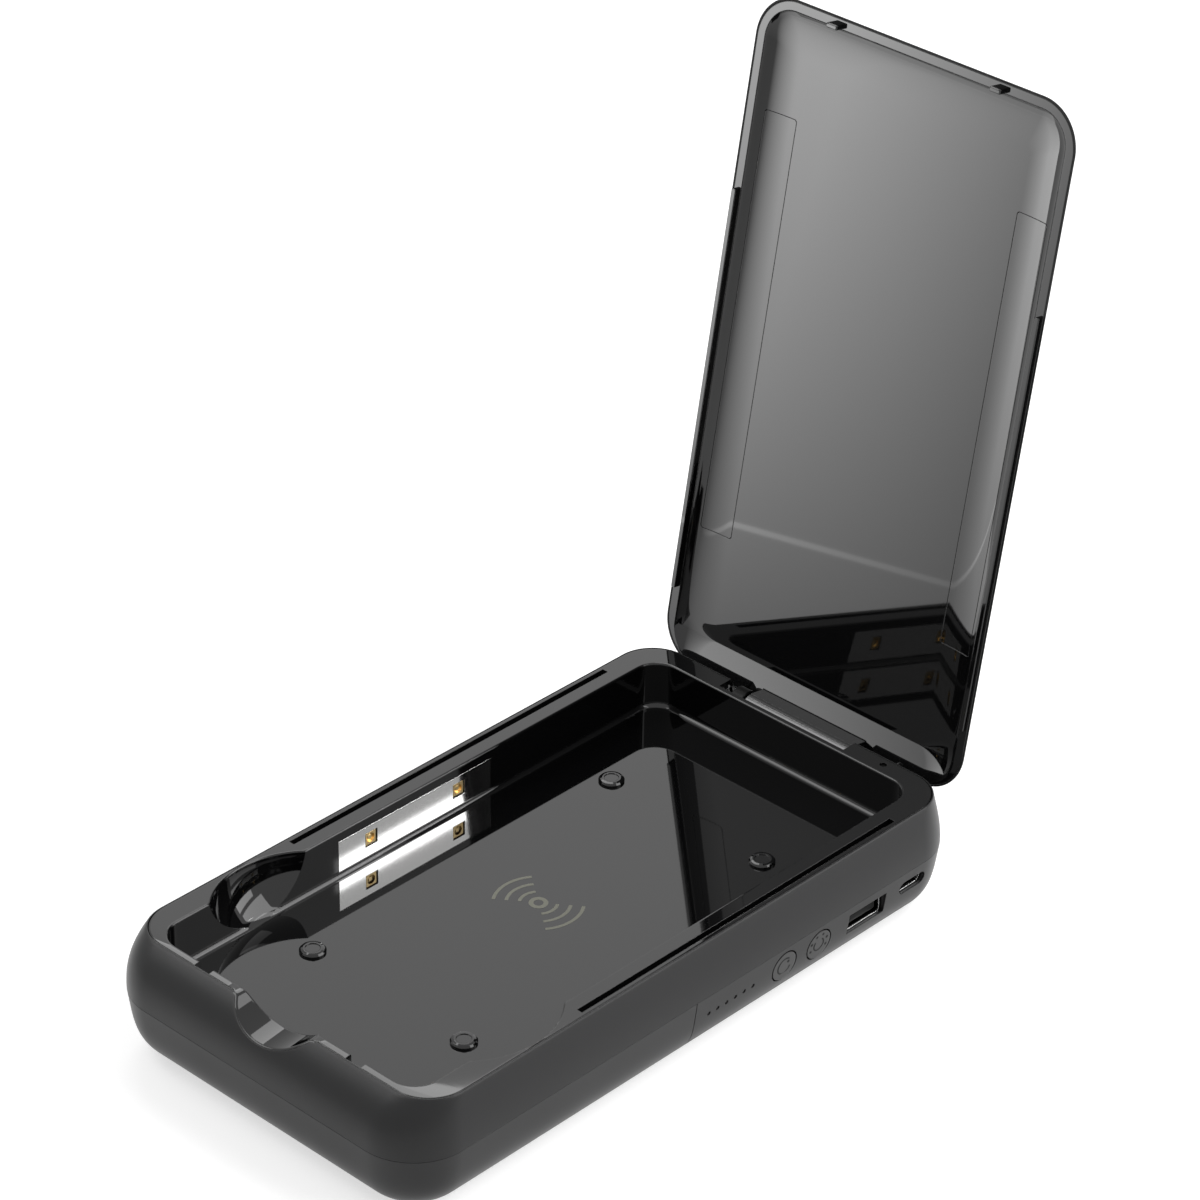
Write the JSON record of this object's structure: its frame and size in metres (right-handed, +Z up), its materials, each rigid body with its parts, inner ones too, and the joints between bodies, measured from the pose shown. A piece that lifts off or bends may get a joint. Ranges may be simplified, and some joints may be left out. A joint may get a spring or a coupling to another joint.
{
  "type": "uv sanitizer box",
  "caption": "Rounded black phone sanitizer box with a flip-up lid, a deep glossy tray, finger scoops, mirror strips with lamps, and side buttons and sockets.",
  "frame": {"origin": "middle of the plane that the four feet stand on", "axes": "+Z up, +Y towards the hinge at the back, +X towards the side with the buttons and sockets"},
  "size_m": [0.1086, 0.2324, 0.2089],
  "materials": {
    "case_matte": "fine matte texture",
    "gloss_black": "polished",
    "button_matte": "fine matte texture",
    "mirror_foil": "bright foil",
    "board_white": "solder mask",
    "board_green": "solder mask",
    "gold_plate": "plated",
    "copper_wire": "enamelled wire",
    "ferrite": "pressed sheet",
    "steel": "nickel plated",
    "cell_foil": "satin foil",
    "white_plastic": "moulded",
    "black_plastic": "moulded",
    "light_lens": "clear",
    "rubber_black": "moulded",
    "lead_red": "insulated"
  },
  "bodies": {
    "base": {"lower_case": "case_matte", "upper_case": "case_matte", "tray": "gloss_black", "control_panel": "case_matte", "phone_rests": "gloss_black", "uv_reflector_left": "mirror_foil", "uv_reflector_right": "mirror_foil", "uv_board_left": "board_white", "uv_board_right": "board_white", "uv_led_left": "gold_plate", "uv_led_right": "gold_plate", "charge_coil": "copper_wire", "coil_shield": "ferrite", "battery_cells": "cell_foil", "main_board": "board_green", "board_screws": "steel", "inner_leads": "lead_red", "usb_a_shell": "steel", "usb_a_tongue": "white_plastic", "usb_a_contacts": "gold_plate", "usb_c_shell": "steel", "usb_c_tongue": "black_plastic", "button_switches": "black_plastic", "indicator_leds": "white_plastic", "light_pipes": "light_lens", "interlock_switch": "black_plastic", "hinge_pin": "steel", "case_screws": "steel", "rubber_feet": "rubber_black"},
    "lid": {"lid_shell": "case_matte", "lid_inner_panel": "gloss_black", "lid_cover_left": "gloss_black", "lid_cover_right": "gloss_black"},
    "power_button": {"power_button": "button_matte"},
    "uv_button": {"uv_button": "button_matte"},
    "interlock_plunger": {"interlock_plunger": "white_plastic"}
  },
  "joints": [
    {"name": "lid_hinge", "type": "hinge", "parent": "base", "child": "lid", "pos_m": [0, 0.09295, 0.02822], "axis": [1, 0, 0], "range_deg": [0, 100]},
    {"name": "power_press", "type": "slide", "parent": "base", "child": "power_button", "axis": [-1, 0, 0], "range_m": [0, 0.0006], "stiffness_N_per_m": 800},
    {"name": "uv_press", "type": "slide", "parent": "base", "child": "uv_button", "axis": [-1, 0, 0], "range_m": [0, 0.0006], "stiffness_N_per_m": 800},
    {"name": "interlock_press", "type": "slide", "parent": "base", "child": "interlock_plunger", "axis": [0, 0, -1], "range_m": [0, 0.0008], "stiffness_N_per_m": 400, "springref_m": -0.0005}
  ]
}
